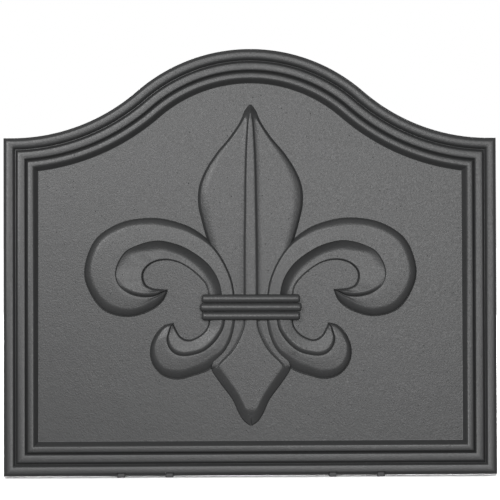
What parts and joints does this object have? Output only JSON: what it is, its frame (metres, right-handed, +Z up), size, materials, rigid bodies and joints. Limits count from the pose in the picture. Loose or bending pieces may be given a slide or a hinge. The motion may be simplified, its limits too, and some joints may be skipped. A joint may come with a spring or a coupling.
{
  "type": "fireback",
  "caption": "Free-standing cast-iron fireback with an arched top, a reeded frame and a fleur-de-lis in relief, on two rear feet bolted to its back.",
  "frame": {"origin": "on the hearth, in the middle of the object's plan box", "axes": "+X to the right seen from the front, -Y towards the room (the front face), +Z up"},
  "size_m": [0.508, 0.1325, 0.4408],
  "materials": {
    "casting": "satin black stove paint over fine sand-cast iron",
    "foot_casting": "satin black stove paint over sand-cast iron",
    "bolt_steel": "blackened steel",
    "washer_steel": "dull zinc-plated steel",
    "spring_steel": "oiled spring steel"
  },
  "bodies": {
    "root": {"fireback_plate": "casting", "support_foot_left": "foot_casting", "support_foot_right": "foot_casting", "hex_bolt_left_lower": "bolt_steel", "hex_bolt_left_upper": "bolt_steel", "hex_bolt_right_lower": "bolt_steel", "hex_bolt_right_upper": "bolt_steel", "flat_washer_left_lower": "washer_steel", "flat_washer_left_upper": "washer_steel", "flat_washer_right_lower": "washer_steel", "flat_washer_right_upper": "washer_steel", "spring_washer_left_lower": "spring_steel", "spring_washer_left_upper": "spring_steel", "spring_washer_right_lower": "spring_steel", "spring_washer_right_upper": "spring_steel"}
  },
  "joints": []
}
